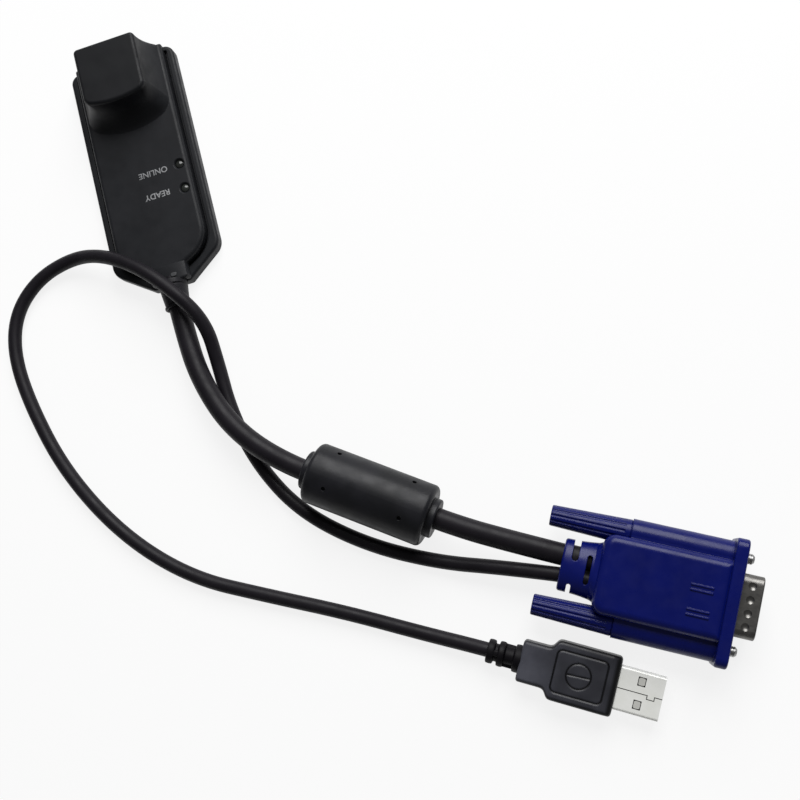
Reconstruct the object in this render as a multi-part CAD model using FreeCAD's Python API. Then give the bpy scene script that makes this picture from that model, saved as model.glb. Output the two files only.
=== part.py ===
import FreeCAD, Part
import math
import os

V = FreeCAD.Vector
UP = V(0, 0, 1)
ALONG = V(1, 0, 0)

# ---- pod (stands at the origin, its socket end towards +Y), mm ----
POD_HALF_LENGTH = 38.6
POD_HALF_WIDTH = 17.5
LEDGE_Z = 4.2               # top of the lower shell, seen as a ledge all round
DECK_Z = LEDGE_Z + 2.8      # top of the cover
FLOOR = 1.6                 # thickness of the lower shell's floor
WALL = 1.5
SIDE_WALL = 4.4             # pod side to the lower shell's hollow
DECK_INSET = 2.9            # pod side to the side of the deck
DECK_CORNER = 10.0          # radius of the deck's corners at the cable end
GROOVE = 0.9                # dark groove between ledge and deck
TIP_HALF = 6.0              # half width of the pod's cable end
BACK_WALL = 1.9             # wall that the socket is let into
CABLE_END = -POD_HALF_LENGTH
LED_X = POD_HALF_WIDTH - 5.8
LED_Y = (-2.6, -10.7)       # upper and lower indicator
LED_R = 1.25
POST_X = POD_HALF_WIDTH - 7.2
SCREW_SPOTS = [(-POST_X, 6.5), (POST_X, 6.5), (-POST_X, -19.5), (POST_X, -19.5)]
SCREW_R = 0.95

BOARD_Z = FLOOR + 0.6       # underside of the circuit board
BOARD_T = 1.2
BOARD_TOP = BOARD_Z + BOARD_T
BOARD_HALF = POD_HALF_WIDTH - SIDE_WALL - 0.5
BOARD_END = POD_HALF_LENGTH - SIDE_WALL - 0.2
CEILING = DECK_Z - WALL + 0.1

JACK_HALF = 7.9
JACK_H = 12.8
JACK_DEPTH = 18.0
JACK_BACK = POD_HALF_LENGTH - JACK_DEPTH
JACK_ROOM = 0.1             # between the socket and the shells
PLUG_HALF = 5.95            # half width of the socket opening
PLUG_H = 6.8
CONTACT_PITCH = 1.27

TOWER_WALL = 1.7
TOWER_Z = BOARD_TOP + JACK_H + 2.0              # top of the socket tower
TOWER_FACE_HALF = JACK_HALF + TOWER_WALL + 0.4  # half width of the tower's top face
TOWER_FLARE = POD_HALF_WIDTH - DECK_INSET - TOWER_FACE_HALF - 1.1   # spread of each side wall
TOWER_FRONT = JACK_BACK - TOWER_WALL - 0.7      # where the top face ends
TOWER_FRONT_FLARE = 5.6     # how far the front wall runs out at its foot
TOWER_RISES = (0.07, 0.16, 0.28, 0.42, 0.6, 0.8)    # heights of its sections between deck and top
TOWER_BACK_CORNER = 1.4
TOWER_ROUND = 1.1           # rounding of its top edge

GLAND_X = 0.5
GLAND_Z = LEDGE_Z + 0.4
GLAND_R = 4.5
GLAND_END_R = 4.0
GLAND_LENGTH = 8.0
GLAND_START = CABLE_END + 1.95
WIRE_WAY_R = 2.0            # way for the wires behind the gland
HEAD_TOP = BOARD_Z - 0.9    # upper side of the case screws' heads

# ---- cords ----
THICK = 6.2                 # cord between pod and video plug
THIN = 4.2                  # cord between video plug and USB plug

# ---- ferrite ----
FERRITE_AT = V(44.4, -117.6, 9.0)
FERRITE_TURN = -36.0
FERRITE_R = 9.0
FERRITE_LENGTH = 36.6
COLLAR_R = 5.7
COLLAR_LENGTH = 2.0

# ---- video plug: s runs from the cord to the pins, n across it, z up from its middle plane ----
VGA_AT = V(91.2, -150.4, 7.75)
VGA_TURN = -27.9
JACKSCREW = 24.99 / 2       # half the standard spacing of the two screws
HOOD_HALF = 11.0
HOOD_H = 7.2
HOOD_BACK = 9.7
FLANGE_S = (43.6, 47.0)
FLANGE_HALF = 17.3
FLANGE_H = 7.75
# (s, half width, half height) of each of its sections
RELIEF = ((-0.3, 7.3, 4.5), (4.0, 7.4, 4.7), (9.0, 8.0, 5.2), (14.6, 9.6, 6.9))
TUNNEL_S = 16.5
TUNNEL_R = 3.95
KNOB_S = (-5.8, 16.2)
KNOB_R = (2.9, 3.6)
FLUTES = 12
ROD_R = 1.42
RUNNING = 0.3               # room round each thumbscrew knob
ROD_FIT = 0.08              # running fit of its rod in the flange
D_HALF = 9.0
D_H = 4.5
D_TIP = 52.8
DIMPLE_R = 1.7
SHEET = 0.5
CORD_N = 2.75               # each cord's way into the hood, either side of its middle

# ---- USB plug ----
USB_AT = V(64.9, -168.1, 4.0)
USB_TURN = -29.6
USB_H = 4.0
USB_NARROW = 5.75
USB_WIDE = 8.25
USB_STEP_S = (9.0, 17.0, 18.2, 36.0)
USB_SHELL = (12.0, 4.5, 48.3)
USB_SHEET = 0.35

# Route of each cord as points chosen by hand along it, mm.  The thick one starts in the gland, the
# thin one in the back of the video plug.
THICK_ROUTE = [
    (GLAND_X, CABLE_END + 1.9, GLAND_Z), (0.8, -52.5, 4.9), (2.4, -70.0, 6.1), (9.3, -88.2, 8.2),
    (23.4, -103.6, 9.0), (44.5, -117.2, 9.0), (64.2, -131.8, 9.0), (79.4, -140.9, 8.3),
    (95.6, -149.9, 7.75)]
THIN_ROUTE = [
    (92.7, -154.2, 7.75), (76.3, -147.6, 5.6), (57.4, -141.0, 2.2), (37.9, -130.4, 2.1),
    (21.6, -116.0, 2.1), (12.4, -99.0, 2.1), (8.3, -81.0, 2.1), (8.2, -66.5, 3.2),
    (8.8, -54.3, 8.8), (2.5, -43.3, 13.2), (-7.2, -32.2, 11.9), (-18.6, -23.9, 8.1),
    (-29.6, -20.3, 3.7), (-42.4, -22.7, 2.1), (-51.8, -31.2, 2.1), (-55.4, -43.6, 2.1),
    (-53.7, -60.3, 2.1), (-46.9, -84.6, 2.1), (-33.3, -108.3, 2.1), (-15.1, -126.4, 2.1),
    (6.4, -137.4, 2.1), (28.0, -148.0, 2.1), (48.0, -159.1, 2.3), (63.1, -166.9, 3.9),
    (72.8, -172.4, 4.0)]

NODES = {}


def wire_from(points, radii, z=0.0):
    """Closed outline with a rounded corner of the given radius at each point."""
    pts = [V(x, y, z) for x, y in points]
    count = len(pts)
    corners = []
    for i, p in enumerate(pts):
        a = (pts[i - 1] - p).normalize()
        b = (pts[(i + 1) % count] - p).normalize()
        half = a.getAngle(b) / 2
        back = radii[i] / math.tan(half)
        bisector = (a + b).normalize()
        mid = p + bisector * (radii[i] / math.sin(half) - radii[i])
        corners.append((p + a * back, mid, p + b * back))
    edges = []
    for i, (start, mid, end) in enumerate(corners):
        edges.append(Part.Arc(start, mid, end).toShape())
        follow = corners[(i + 1) % count][0]
        if (follow - end).Length > 1e-6:
            edges.append(Part.LineSegment(end, follow).toShape())
    return Part.Wire(edges)


def slab(points, radii, z0, z1):
    return Part.Face(wire_from(points, radii, z0)).extrude(V(0, 0, z1 - z0))


def box(x0, x1, y0, y1, z0, z1):
    return Part.makeBox(x1 - x0, y1 - y0, z1 - z0, V(x0, y0, z0))


def rod(radius, start, end):
    """Cylinder between two points."""
    axis = end - start
    return Part.makeCylinder(radius, axis.Length, start, axis)


def cone(r0, r1, start, end):
    axis = end - start
    return Part.makeCone(r0, r1, axis.Length, start, axis)


def fuse(shapes):
    first, rest = shapes[0], shapes[1:]
    return first.multiFuse(rest).removeSplitter() if rest else first


def cut(shape, tools):
    return shape.cut(tools if isinstance(tools, list) else [tools])


def soften(shape, radius, wanted):
    """Fillet of the edges for which wanted(edge) is true."""
    edges = [e for e in shape.Edges if wanted(e)]
    return shape.makeFillet(radius, edges)


def flat_at(z, tolerance=1e-4):
    """Test for an edge that lies wholly at height z."""
    return lambda e: abs(e.BoundBox.ZMin - z) < tolerance and abs(e.BoundBox.ZMax - z) < tolerance


def solid(shape):
    """The single solid that a cut or fuse has left."""
    return shape.Solids[0] if len(shape.Solids) == 1 else shape


def put(name, shape, at=None, turn=0.0):
    """Move a shape from its own frame to its place and keep it as a node."""
    placed = shape.copy()
    if at is not None:
        placed.rotate(V(0, 0, 0), UP, turn)
        placed.translate(at)
    NODES[name] = placed


def tube(name, route, diameter):
    """Cord: straight runs joined by arcs, each tangent to both runs, swept with a round section."""
    pts = [V(*p) for p in route]
    edges, start, tightest = [], pts[0], 1e9
    for i in range(1, len(pts) - 1):
        a = (pts[i - 1] - pts[i])
        b = (pts[i + 1] - pts[i])
        back = 0.45 * min(a.Length, b.Length)
        a.normalize()
        b.normalize()
        half = a.getAngle(b) / 2
        radius = back * math.tan(half)
        tightest = min(tightest, radius)
        enter, leave = pts[i] + a * back, pts[i] + b * back
        mid = pts[i] + (a + b).normalize() * (radius / math.sin(half) - radius)
        edges.append(Part.LineSegment(start, enter).toShape())
        edges.append(Part.Arc(enter, mid, leave).toShape())
        start = leave
    edges.append(Part.LineSegment(start, pts[-1]).toShape())
    spine = Part.Wire(edges)
    section = Part.Wire([Part.Circle(pts[0], pts[1] - pts[0], diameter / 2).toShape()])
    shape = spine.makePipeShell([section], True, True)
    length = spine.Length
    share = shape.Volume / (math.pi * diameter ** 2 / 4 * length)
    lowest = shape.optimalBoundingBox(True, False).ZMin
    print("%s: length %.1f mm, tightest bend %.1f mm (%.1f diameters)"
          % (name, length, tightest, tightest / diameter))
    print("%s: volume against section x length %.4f, lowest %.2f" % (name, share, lowest))
    NODES[name] = shape
    return shape


# ---------------------------------------------------------------- pod
def pod_outline(inset):
    """Corner points of the pod's plan, drawn in by an amount: square socket end, tapered cable end."""
    w, top = POD_HALF_WIDTH - inset, POD_HALF_LENGTH - inset
    shoulder = CABLE_END + 8.4 + inset * 0.36
    foot = CABLE_END + inset
    tip = TIP_HALF - inset * 0.28
    points = [(-w, top), (-w, shoulder), (-tip, foot), (tip, foot), (w, shoulder), (w, top)]
    radii = [max(3.0 - inset, 0.6), max(5.0 - inset, 1.5), 1.2, 1.2, max(5.0 - inset, 1.5),
             max(3.0 - inset, 0.6)]
    return points, radii


def deck_outline(inset, end):
    """Plan of the raised deck; end is the y of its socket side."""
    w = POD_HALF_WIDTH - DECK_INSET - inset
    shoulder, foot = CABLE_END + 9.2 + inset * 0.36, CABLE_END + 4.4 + inset
    tip, bend = TIP_HALF - 0.6 - inset * 0.3, DECK_CORNER - inset
    points = [(-w, end), (-w, shoulder), (-tip, foot), (tip, foot), (w, shoulder), (w, end)]
    return points, [0.5, bend, 3.0, 3.0, bend, 0.5]


def tower_section(z, inset, end):
    """Plan of the tower at height z: straight sides and a bowed front, both wider towards the foot
    by a power law, so that the walls are hollowed like a scoop."""
    down = max(0.0, min(1.0, (TOWER_Z - z) / (TOWER_Z - DECK_Z)))
    w = TOWER_FACE_HALF + TOWER_FLARE * down ** 2.4 - inset
    front = TOWER_FRONT - TOWER_FRONT_FLARE * down ** 2.6 + inset
    corner = 1.0 + 3.2 * down
    bow = 1.9 + 0.6 * down
    left, right = V(-w, front + bow + corner, z), V(w, front + bow + corner, z)
    lean = 0.35 * corner
    a0 = V(-w + corner, front + bow * 0.72, z)
    b0 = V(w - corner, front + bow * 0.72, z)
    a_mid = V(-w + lean, front + bow + lean * 0.75, z)
    b_mid = V(w - lean, front + bow + lean * 0.75, z)
    back = TOWER_BACK_CORNER
    tuck = back * (1 - math.sqrt(0.5))
    return Part.Wire([
        Part.Arc(V(-w + back, end, z), V(-w + tuck, end - tuck, z), V(-w, end - back, z)).toShape(),
        Part.LineSegment(V(-w, end - back, z), left).toShape(),
        Part.Arc(left, a_mid, a0).toShape(),
        Part.Arc(a0, V(0, front, z), b0).toShape(),
        Part.Arc(b0, b_mid, right).toShape(),
        Part.LineSegment(right, V(w, end - back, z)).toShape(),
        Part.Arc(V(w, end - back, z), V(w - tuck, end - tuck, z), V(w - back, end, z)).toShape(),
        Part.LineSegment(V(w - back, end, z), V(-w + back, end, z)).toShape()])


def gland_axis(radius, y0, y1):
    return rod(radius, V(GLAND_X, y0, GLAND_Z), V(GLAND_X, y1, GLAND_Z))


def build_shells():
    points, radii = pod_outline(0)
    lower = soften(slab(points, radii, 0, LEDGE_Z), 0.9, flat_at(LEDGE_Z))
    lower = soften(lower, 0.5, flat_at(0.0))
    inner_p, inner_r = pod_outline(SIDE_WALL)
    step_p, step_r = deck_outline(-0.15, POD_HALF_LENGTH - BACK_WALL + 0.2)
    groove_p, groove_r = deck_outline(-GROOVE, POD_HALF_LENGTH - BACK_WALL + 0.2)
    jack_side = JACK_HALF + JACK_ROOM
    lower = cut(lower, [
        slab(inner_p, inner_r, FLOOR, LEDGE_Z + 1),
        slab(step_p, step_r, LEDGE_Z - 1.4, LEDGE_Z + 1),
        slab(groove_p, groove_r, LEDGE_Z - 1.0, LEDGE_Z + 1),
        box(-jack_side, jack_side, JACK_BACK - JACK_ROOM, POD_HALF_LENGTH + 1, BOARD_TOP, LEDGE_Z + 1),
        gland_axis(GLAND_R, GLAND_START + 0.05, CABLE_END - 1),
        gland_axis(WIRE_WAY_R, CABLE_END + 5.6, CABLE_END + 0.6)])
    posts = [rod(2.6, V(x, y, FLOOR - 0.2), V(x, y, BOARD_Z)) for x, y in SCREW_SPOTS]
    stop = BOARD_HALF - 1.6
    posts += [box(x - 1, x + 1, BOARD_END - 4.6, BOARD_END - 2.6, FLOOR - 0.2, BOARD_Z)
              for x in (-stop, stop)]
    lower = fuse([lower] + posts)
    for x, y in SCREW_SPOTS:
        lower = cut(lower, [rod(SCREW_R + 0.3, V(x, y, -1), V(x, y, LEDGE_Z)),
                            rod(2.1, V(x, y, -1), V(x, y, HEAD_TOP))])
    put("lower_shell", solid(lower))

    deck_p, deck_r = deck_outline(0, POD_HALF_LENGTH)
    deck = slab(deck_p, deck_r, LEDGE_Z, DECK_Z)
    rim = flat_at(DECK_Z)
    deck = soften(deck, 1.3, lambda e: rim(e) and e.BoundBox.YMin < POD_HALF_LENGTH - 1.0)
    skirt_p, skirt_r = deck_outline(0, POD_HALF_LENGTH - BACK_WALL)
    skirt = slab(skirt_p, skirt_r, LEDGE_Z - 1.35, LEDGE_Z + 0.2)
    rises = [DECK_Z + share * (TOWER_Z - DECK_Z) for share in TOWER_RISES]
    levels = [LEDGE_Z + 0.8, DECK_Z] + rises + [TOWER_Z]
    outer = Part.makeLoft([tower_section(z, 0, POD_HALF_LENGTH) for z in levels], True, False)
    outer = soften(outer, TOWER_ROUND, flat_at(TOWER_Z))
    hump_end = CABLE_END + 0.3
    hump = cut(gland_axis(GLAND_R + 1.7, CABLE_END + 5.4, hump_end),
               box(-10, 10, CABLE_END - 1.4, CABLE_END + 8.6, -5, LEDGE_Z + 0.05))
    hump = soften(hump, 0.8,
                  lambda e: abs(e.BoundBox.YMin - hump_end) < 1e-3 and e.BoundBox.ZMax > DECK_Z + 1)
    cover = fuse([deck, skirt, outer, hump])
    hollow_end = POD_HALF_LENGTH - BACK_WALL - WALL
    hollow_p, hollow_r = deck_outline(WALL, hollow_end)
    inner = Part.makeLoft([tower_section(z, TOWER_WALL, hollow_end)
                           for z in [LEDGE_Z + 0.4, DECK_Z - 0.2] + rises[:5] + [TOWER_Z - TOWER_WALL]],
                          True, False)
    jack_side = JACK_HALF + JACK_ROOM
    cover = cut(cover, [
        slab(hollow_p, hollow_r, BOARD_Z - 0.2, CEILING), inner,
        box(-jack_side, jack_side, JACK_BACK - JACK_ROOM, POD_HALF_LENGTH + 1,
            BOARD_Z - 0.2, BOARD_TOP + JACK_H + JACK_ROOM),
        gland_axis(GLAND_R, GLAND_START + 1.75, CABLE_END - 1),
        gland_axis(WIRE_WAY_R, CABLE_END + 8.6, CABLE_END + 0.6)])
    posts = [rod(2.2, V(x, y, BOARD_TOP), V(x, y, CEILING + 0.4)) for x, y in SCREW_SPOTS]
    cover = fuse([cover] + posts)
    holes = [rod(SCREW_R, V(x, y, BOARD_Z - 0.2), V(x, y, DECK_Z - 0.9)) for x, y in SCREW_SPOTS]
    holes += [rod(LED_R + 0.12, V(LED_X, y, BOARD_TOP), V(LED_X, y, DECK_Z + 1)) for y in LED_Y]
    holes += [cone(LED_R + 0.12, LED_R + 0.55, V(LED_X, y, DECK_Z - 0.43), V(LED_X, y, DECK_Z + 0.01))
              for y in LED_Y]
    put("upper_cover", solid(cut(cover, holes)))


def build_board():
    side, end, narrow = BOARD_HALF, CABLE_END + 9.2, BOARD_HALF - 4.6
    points = [(-side, BOARD_END), (-side, end + 7.4), (-narrow, end), (narrow, end), (side, end + 7.4),
              (side, BOARD_END)]
    board = slab(points, [1.0, 2.0, 1.5, 1.5, 2.0, 1.0], BOARD_Z, BOARD_TOP)
    board = cut(board, [rod(SCREW_R + 0.3, V(x, y, 0), V(x, y, DECK_Z)) for x, y in SCREW_SPOTS])
    put("circuit_board", solid(board))

    chip = box(-6.0, 5.0, -8.0, 3.0, BOARD_TOP + 0.15, BOARD_TOP + 1.5)
    legs = []
    for i in range(10):
        k = 0.9 * (i - 4.5)
        legs += [box(-7.0, -5.9, k - 2.7, k - 2.3, BOARD_TOP, BOARD_TOP + 0.35),
                 box(4.9, 6.0, k - 2.7, k - 2.3, BOARD_TOP, BOARD_TOP + 0.35),
                 box(k - 0.7, k - 0.3, -9.0, -7.9, BOARD_TOP, BOARD_TOP + 0.35),
                 box(k - 0.7, k - 0.3, 2.9, 4.0, BOARD_TOP, BOARD_TOP + 0.35)]
    put("controller_chip", solid(fuse([chip] + legs)))
    small = box(-4.0, 4.0, -17.5, -13.5, BOARD_TOP + 0.1, BOARD_TOP + 1.4)
    legs = []
    for i in range(7):
        x = 1.1 * (i - 3)
        legs += [box(x - 0.2, x + 0.2, -18.5, -17.4, BOARD_TOP, BOARD_TOP + 0.3),
                 box(x - 0.2, x + 0.2, -13.6, -12.5, BOARD_TOP, BOARD_TOP + 0.3)]
    put("video_chip", solid(fuse([small] + legs)))
    can = slab([(-5.5, 7.0), (-5.5, 11.0), (5.5, 11.0), (5.5, 7.0)], [1.9] * 4, BOARD_TOP, BOARD_TOP + 1.9)
    put("crystal_can", can)
    edge = BOARD_HALF - 3.1
    spots = [(-edge, -12.0), (-edge, -8.5), (-edge, -5.0), (-edge, -1.5), (6.3, -14.5), (6.3, -17.5),
             (-6.3, -15.5), (-6.3, -12.5), (7.6, 2.6)]
    passives = [box(x - 0.9, x + 0.9, y - 0.6, y + 0.6, BOARD_TOP, BOARD_TOP + 0.8) for x, y in spots]
    put("board_passives", Part.makeCompound(passives))
    plug_end = end + 1.0
    put("cable_header", box(-6.5, 6.5, plug_end, plug_end + 3.0, BOARD_TOP, BOARD_TOP + 1.8))
    wires = []
    for i in range(6):
        k = i - 2.5
        near = V(GLAND_X + 0.35 * k, CABLE_END + 2.0, GLAND_Z + (0.45 if i % 2 else -0.45))
        far = V(GLAND_X + 0.8 * k, plug_end - 0.1, BOARD_TOP + 1.0)
        wires.append(rod(0.3, near, far))
    put("inner_wires", Part.makeCompound(wires))

    for name, y in zip(("active_led", "power_led"), LED_Y):
        at = V(LED_X, y, BOARD_TOP)
        lens = fuse([rod(LED_R + 0.1, at, at + V(0, 0, 0.8)), rod(LED_R, at, V(LED_X, y, DECK_Z - 0.5))])
        dome = Part.makeSphere(1.72, V(LED_X, y, DECK_Z - 1.7)).common(
            rod(LED_R, V(LED_X, y, DECK_Z - 0.52), V(LED_X, y, DECK_Z + 1)))
        put(name, solid(fuse([lens, dome])))

    screws = []
    for x, y in SCREW_SPOTS:
        head = cut(rod(1.95, V(x, y, 0.2), V(x, y, HEAD_TOP)),
                   [box(x - 1.3, x + 1.3, y - 0.25, y + 0.25, 0.0, 0.75),
                    box(x - 0.25, x + 0.25, y - 1.3, y + 1.3, 0.0, 0.75)])
        screws.append(fuse([head, rod(SCREW_R, V(x, y, HEAD_TOP - 0.1), V(x, y, DECK_Z - 1.1))]))
    put("case_screws", Part.makeCompound(screws))


def build_jack():
    front = POD_HALF_LENGTH
    base = BOARD_TOP + 3.1
    body = box(-JACK_HALF, JACK_HALF, JACK_BACK, front, BOARD_TOP, BOARD_TOP + JACK_H)
    body = soften(body, 0.4, lambda e: abs(e.BoundBox.YMin - front) < 1e-4)
    inside = JACK_DEPTH - 3.8
    body = cut(body, [
        box(-PLUG_HALF, PLUG_HALF, front - inside, front + 1, base, base + PLUG_H),
        box(-3.2, 3.2, front - inside, front + 1, base - 1.1, base + 1),
        box(-2.0, 2.0, front - inside, front + 1, base - 2.2, base + 1),
        box(-5.6, 5.6, front - inside, front - 2.0, base + PLUG_H - 1, base + PLUG_H + 0.9)])
    put("jack_housing", solid(body))
    contacts = []
    for i in range(8):
        x = CONTACT_PITCH * (i - 3.5)
        top = base + PLUG_H + 0.9
        line = [(front - 2.6, top), (front - 2.2, top - 0.35), (front - 11.5, top - 3.4),
                (front - 11.7, top - 3.0), (front - 3.8, top - 0.35), (front - 8.5, top - 0.35),
                (front - 8.5, top)]
        edges = [V(x - 0.22, y, z) for y, z in line]
        face = Part.Face(Part.makePolygon(edges + [edges[0]]))
        contacts.append(face.extrude(V(0.44, 0, 0)))
    put("jack_contacts", Part.makeCompound(contacts))


def build_gland():
    neck, end = CABLE_END - 0.8, CABLE_END - GLAND_LENGTH
    lip = end + 0.9
    body = fuse([gland_axis(GLAND_R, GLAND_START, neck),
                 cone(GLAND_R, GLAND_END_R - 0.25, V(GLAND_X, neck, GLAND_Z), V(GLAND_X, lip, GLAND_Z)),
                 gland_axis(GLAND_END_R, lip + 0.2, end)])
    body = soften(body, 0.3, lambda e: max(abs(e.BoundBox.YMin - end), abs(e.BoundBox.YMax - end)) < 1e-4)
    put("pod_gland", solid(cut(body, gland_axis(THICK / 2, GLAND_START + 1, end - 1))))


# ---------------------------------------------------------------- ferrite
def build_ferrite():
    half = FERRITE_LENGTH / 2
    drum = soften(rod(FERRITE_R, V(-half, 0, 0), V(half, 0, 0)), 1.5, lambda e: e.BoundBox.XLength < 1e-4)
    ends = half + COLLAR_LENGTH
    collar = soften(rod(COLLAR_R, V(-ends, 0, 0), V(ends, 0, 0)), 0.5, lambda e: e.BoundBox.XLength < 1e-4)
    jacket = fuse([drum, collar])
    dimples = []
    for s in (-11.5, 11.5):
        for angle in (57, -22, -123, 158):
            a = math.radians(angle)
            out = V(0, math.sin(a), math.cos(a))
            low, high = V(s, 0, 0) + out * (FERRITE_R - 1.1), V(s, 0, 0) + out * (FERRITE_R + 1)
            dimples.append(rod(0.65, low, high))
    core_half, core_r, bore = half - 2.2, FERRITE_R - 1.6, 3.5
    jacket = cut(jacket, dimples + [rod(core_r, V(-core_half, 0, 0), V(core_half, 0, 0)),
                                    rod(THICK / 2, V(-30, 0, 0), V(30, 0, 0))])
    put("ferrite_jacket", solid(jacket), FERRITE_AT, FERRITE_TURN)
    core = cut(rod(core_r, V(-core_half, 0, 0), V(core_half, 0, 0)), rod(bore, V(-30, 0, 0), V(30, 0, 0)))
    put("ferrite_core", solid(core), FERRITE_AT, FERRITE_TURN)


# ---------------------------------------------------------------- video plug
def d_wire(s, inset):
    """D outline of the plug's shell, in the plane across the plug at s."""
    w, h, lean = D_HALF - inset, D_H - inset, 1.55
    flat = wire_from([(-w, h), (-(w - lean), -h), (w - lean, -h), (w, h)], [2.4 - inset * 0.6] * 4)
    flat.rotate(V(0, 0, 0), V(1, 1, 1), 120)
    flat.translate(V(s, 0, 0))
    return flat


def d_block(s0, s1, inset):
    return Part.Face(d_wire(s0, inset)).extrude(V(s1 - s0, 0, 0))


def oval(s, half, high):
    """Upright oval across the plug at s; half is its half width and high its half height."""
    ring = Part.Ellipse(V(0, 0, 0), half, high).toShape()
    ring.rotate(V(0, 0, 0), V(1, 1, 1), 120)
    ring.translate(V(s, 0, 0))
    return Part.Wire([ring])


def build_hood():
    back, (f0, f1) = HOOD_BACK, FLANGE_S
    plan = slab([(back, -HOOD_HALF), (f0 + 1, -HOOD_HALF), (f0 + 1, HOOD_HALF), (back, HOOD_HALF)],
                [3.4, 0.2, 0.2, 3.4], -HOOD_H, HOOD_H)
    body = soften(plan, 2.4, lambda e: flat_at(HOOD_H)(e) and e.BoundBox.XMin < f0)
    body = soften(body, 2.4, lambda e: flat_at(-HOOD_H)(e) and e.BoundBox.XMin < f0)
    parts = [body]
    for side in (-1, 1):
        n = side * JACKSCREW
        parts.append(rod(TUNNEL_R, V(TUNNEL_S, n, 0), V(f0 + 1, n, 0)))
        near, far = sorted((side * 9, n))
        parts.append(box(TUNNEL_S, f0 + 1, near, far, -TUNNEL_R + 0.05, TUNNEL_R - 0.05))
    flange = wire_from([(-FLANGE_HALF, -FLANGE_H), (FLANGE_HALF, -FLANGE_H), (FLANGE_HALF, FLANGE_H),
                        (-FLANGE_HALF, FLANGE_H)], [2.6] * 4)
    flange.rotate(V(0, 0, 0), V(1, 1, 1), 120)
    flange.translate(V(f0, 0, 0))
    flange = Part.Face(flange).extrude(V(f1 - f0, 0, 0))
    parts.append(soften(flange, 0.6, lambda e: e.BoundBox.XLength < 1e-4))
    relief = Part.makeLoft([oval(s, half, high) for s, half, high in RELIEF], True, False)
    parts.append(soften(relief, 0.7, lambda e: e.BoundBox.XMax < RELIEF[0][0] + 1e-3))
    hood = fuse(parts)
    tools = [box(2.2, 4.0, 2.5, 10, -9, 9), rod(0.9, V(3.1, 2.5, -9), V(3.1, 2.5, 9)),
             box(2.2, 3.4, -10, -5.5, -9, 9), rod(0.6, V(2.8, -5.5, -9), V(2.8, -5.5, 9)),
             box(6.4, 7.8, -3.4, 3.2, -9, 9), rod(0.7, V(7.1, 3.2, -9), V(7.1, 3.2, 9)),
             rod(0.7, V(7.1, -3.4, -9), V(7.1, -3.4, 9)),
             box(15.6, f0 - 0.4, -9.2, 9.2, -5.4, 5.4),
             d_block(f0 - 1, f1 + 1, -0.02), rod(THICK / 2, V(-2, CORD_N, 0), V(17, CORD_N, 0)),
             rod(THIN / 2, V(-2, -CORD_N, 0), V(17, -CORD_N, 0))]
    for side in (-1, 1):
        n = side * JACKSCREW
        tools += [rod(2.4 + RUNNING, V(TUNNEL_S - 1, n, 0), V(26, n, 0)),
                  rod(ROD_R + ROD_FIT, V(20, n, 0), V(f1 + 1, n, 0)),
                  rod(KNOB_R[1] + RUNNING, V(-8, n, 0), V(TUNNEL_S, n, 0))]
    hood = cut(hood, tools)
    bars = [box(34, 40, n - 0.25, n + 0.25, HOOD_H - 0.1, HOOD_H + 0.25) for n in (2.6, 1.2, -4.0, -5.4)]
    put("vga_hood", solid(fuse([hood] + bars)), VGA_AT, VGA_TURN)


def build_video_plug():
    build_hood()
    f0, f1 = FLANGE_S
    tip = soften(d_block(f0 - 4, D_TIP, 0), 0.4, lambda e: e.BoundBox.XMin > D_TIP - 1e-3)
    shell = cut(tip, d_block(f0 - 5, D_TIP + 1, SHEET))
    dimples = [Part.makeSphere(DIMPLE_R, V(D_TIP - 3.0, n, side * (D_H + DIMPLE_R - 0.4)))
               for side in (-1, 1) for n in (5.5, 1.85, -1.8, -5.4)]
    put("vga_shell", solid(cut(shell, dimples)), VGA_AT, VGA_TURN)

    holes, pins = [], []
    for row, z in enumerate((1.98, 0.0, -1.98)):
        for i in range(5):
            n = 2.29 * (i - 2) + (0.57 if row % 2 else -0.57)
            holes.append(rod(0.5, V(30, n, z), V(60, n, z)))
            shaft = rod(0.5, V(f0 - 7, n, z), V(51.2, n, z))
            pins.append(soften(shaft, 0.25, lambda e: e.BoundBox.XMin > 51.1))
    put("vga_insulator", solid(cut(d_block(f0 - 4, 47.4, SHEET), holes)), VGA_AT, VGA_TURN)
    put("vga_pins", Part.makeCompound(pins), VGA_AT, VGA_TURN)

    for name, side in (("upper", 1), ("lower", -1)):
        n = side * JACKSCREW
        s0, s1 = KNOB_S
        knob = fuse([soften(cone(KNOB_R[0], KNOB_R[1], V(s0, n, 0), V(s1, n, 0)), 0.4,
                            lambda e: e.BoundBox.XMax < s0 + 1e-3),
                     rod(2.4, V(s1 - 0.2, n, 0), V(24.0, n, 0))])
        slope = (KNOB_R[1] - KNOB_R[0]) / (s1 - s0)
        flutes = []
        for i in range(FLUTES):
            a = 2 * math.pi * i / FLUTES
            out = V(0, math.cos(a), math.sin(a))
            begin = V(s0 - 1, n, 0) + out * (KNOB_R[0] + 0.18 - slope)
            finish = V(s1 - 1.5, n, 0) + out * (KNOB_R[1] + 0.18 - slope * 1.5)
            flutes.append(rod(0.45, begin, finish))
        knob = cut(knob, flutes + [rod(ROD_R, V(14, n, 0), V(30, n, 0))])
        put(name + "_thumbscrew_knob", solid(knob), VGA_AT, VGA_TURN)
        rounds = [rod(ROD_R, V(14, n, 0), V(48.9, n, 0)),
                  cone(ROD_R, ROD_R - 0.5, V(48.9, n, 0), V(49.5, n, 0))]
        grooves = []
        for s in (47.2, 47.75, 48.3):
            ring = rod(ROD_R + 0.3, V(s, n, 0), V(s + 0.22, n, 0))
            grooves.append(cut(ring, rod(ROD_R - 0.2, V(s - 1, n, 0), V(s + 1, n, 0))))
        put(name + "_thumbscrew_rod", solid(cut(fuse(rounds), grooves)), VGA_AT, VGA_TURN)


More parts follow.
